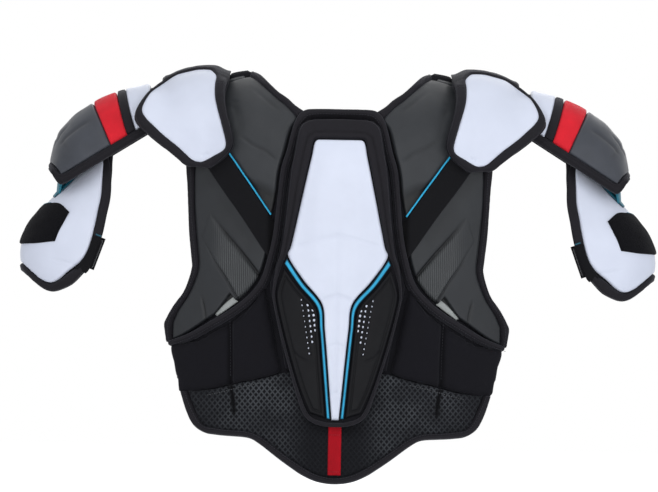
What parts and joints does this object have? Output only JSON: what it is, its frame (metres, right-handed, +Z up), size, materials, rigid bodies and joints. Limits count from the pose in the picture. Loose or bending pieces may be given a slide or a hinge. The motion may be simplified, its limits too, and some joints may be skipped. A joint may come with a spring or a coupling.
{
  "type": "hockey shoulder pads",
  "caption": "Padded ice hockey shoulder pads: vest with spine guard and back shells, shoulder caps, arm caps and strapped bicep guards.",
  "frame": {"origin": "middle of the line between the two shoulders, where the vest's lining rests on the wearer", "axes": "+X to the wearer's right-hand side of the pictured back view, +Y the way the wearer faces, +Z up"},
  "size_m": [0.7338, 0.2286, 0.4795],
  "materials": {
    "white_plate": "satin moulded skin",
    "grey_foam": "satin compression-moulded foam",
    "black_moulding": "satin moulded foam",
    "black_fabric": "knitted nylon over foam",
    "binding": "woven edge binding",
    "mesh_lining": "spacer mesh",
    "elastic": "woven elastic and hook tape",
    "red_fabric": "coated fabric",
    "blue_trim": "woven trim",
    "silver_mesh": "coated mesh"
  },
  "bodies": {
    "vest": {"back_liner": "mesh_lining", "back_binding": "binding", "column_pad": "black_fabric", "kidney_pads": "black_fabric", "tail_pad": "black_fabric", "hem_binding": "binding", "red_tab": "red_fabric", "upper_shells": "grey_foam", "vent_inserts": "silver_mesh", "diagonal_straps": "elastic", "strap_piping": "blue_trim", "armhole_bindings": "binding", "spine_pad": "black_fabric", "spine_plate": "white_plate", "spine_wings": "black_moulding", "spine_piping": "blue_trim", "spine_rim": "binding", "shoulder_linings": "mesh_lining", "shoulder_yokes": "grey_foam", "neck_bindings": "binding", "collar_pads": "black_fabric", "chest_liner": "mesh_lining", "chest_shells": "grey_foam", "sternum_plate": "white_plate", "left_lower_shell": "grey_foam", "right_lower_shell": "grey_foam"},
    "belly_pad": {"belly_pad": "black_fabric"},
    "left_cap": {"left_cap_pad": "black_fabric", "left_cap_plate": "white_plate", "left_cap_rim": "binding"},
    "left_arm_cap": {"left_arm_pad": "black_fabric", "left_arm_white_band": "white_plate", "left_arm_red_band": "red_fabric", "left_arm_shell": "grey_foam", "left_arm_edge": "binding"},
    "left_bicep_guard": {"left_bicep_pad": "black_fabric", "left_bicep_plate": "white_plate", "left_bicep_rim": "binding", "left_hook_patch": "elastic", "left_blue_trim": "blue_trim"},
    "left_arm_strap": {"left_arm_strap": "elastic", "left_strap_tab": "elastic"},
    "left_side_belt": {"left_side_belt": "elastic"},
    "right_cap": {"right_cap_pad": "black_fabric", "right_cap_plate": "white_plate", "right_cap_rim": "binding"},
    "right_arm_cap": {"right_arm_pad": "black_fabric", "right_arm_white_band": "white_plate", "right_arm_red_band": "red_fabric", "right_arm_shell": "grey_foam", "right_arm_edge": "binding"},
    "right_bicep_guard": {"right_bicep_pad": "black_fabric", "right_bicep_plate": "white_plate", "right_bicep_rim": "binding", "right_hook_patch": "elastic", "right_blue_trim": "blue_trim"},
    "right_arm_strap": {"right_arm_strap": "elastic", "right_strap_tab": "elastic"},
    "right_side_belt": {"right_side_belt": "elastic"}
  },
  "joints": [
    {"name": "belly_pad_slide", "type": "slide", "parent": "vest", "child": "belly_pad", "axis": [0, 0, -1], "range_m": [0, 0.03]},
    {"name": "left_cap_lift", "type": "hinge", "parent": "vest", "child": "left_cap", "pos_m": [-0.126, 0, 0.006], "axis": [0, 1, 0], "range_deg": [0, 25]},
    {"name": "left_arm_cap_lift", "type": "hinge", "parent": "left_cap", "child": "left_arm_cap", "pos_m": [-0.203, 0, -0.005], "axis": [0, 1, 0], "range_deg": [-20, 6]},
    {"name": "left_bicep_swing", "type": "hinge", "parent": "left_arm_cap", "child": "left_bicep_guard", "pos_m": [-0.32, 0, -0.0925], "axis": [0, 1, 0], "range_deg": [-12, 3]},
    {"name": "left_arm_strap_peel", "type": "hinge", "parent": "left_bicep_guard", "child": "left_arm_strap", "pos_m": [-0.27815, 0.048, -0.19782], "axis": [0.342, 0, 0.9397], "range_deg": [0, 70]},
    {"name": "left_side_belt_peel", "type": "hinge", "parent": "vest", "child": "left_side_belt", "pos_m": [-0.184, -0.0435, -0.325], "axis": [0, 0, 1], "range_deg": [0, 60]},
    {"name": "right_cap_lift", "type": "hinge", "parent": "vest", "child": "right_cap", "pos_m": [0.126, 0, 0.006], "axis": [0, -1, 0], "range_deg": [0, 25]},
    {"name": "right_arm_cap_lift", "type": "hinge", "parent": "right_cap", "child": "right_arm_cap", "pos_m": [0.203, 0, -0.005], "axis": [0, -1, 0], "range_deg": [-20, 6]},
    {"name": "right_bicep_swing", "type": "hinge", "parent": "right_arm_cap", "child": "right_bicep_guard", "pos_m": [0.32, 0, -0.0925], "axis": [0, -1, 0], "range_deg": [-12, 3]},
    {"name": "right_arm_strap_peel", "type": "hinge", "parent": "right_bicep_guard", "child": "right_arm_strap", "pos_m": [0.27815, 0.048, -0.19782], "axis": [0.342, 0, -0.9397], "range_deg": [0, 70]},
    {"name": "right_side_belt_peel", "type": "hinge", "parent": "vest", "child": "right_side_belt", "pos_m": [0.184, -0.0435, -0.325], "axis": [0, 0, -1], "range_deg": [0, 60]}
  ]
}
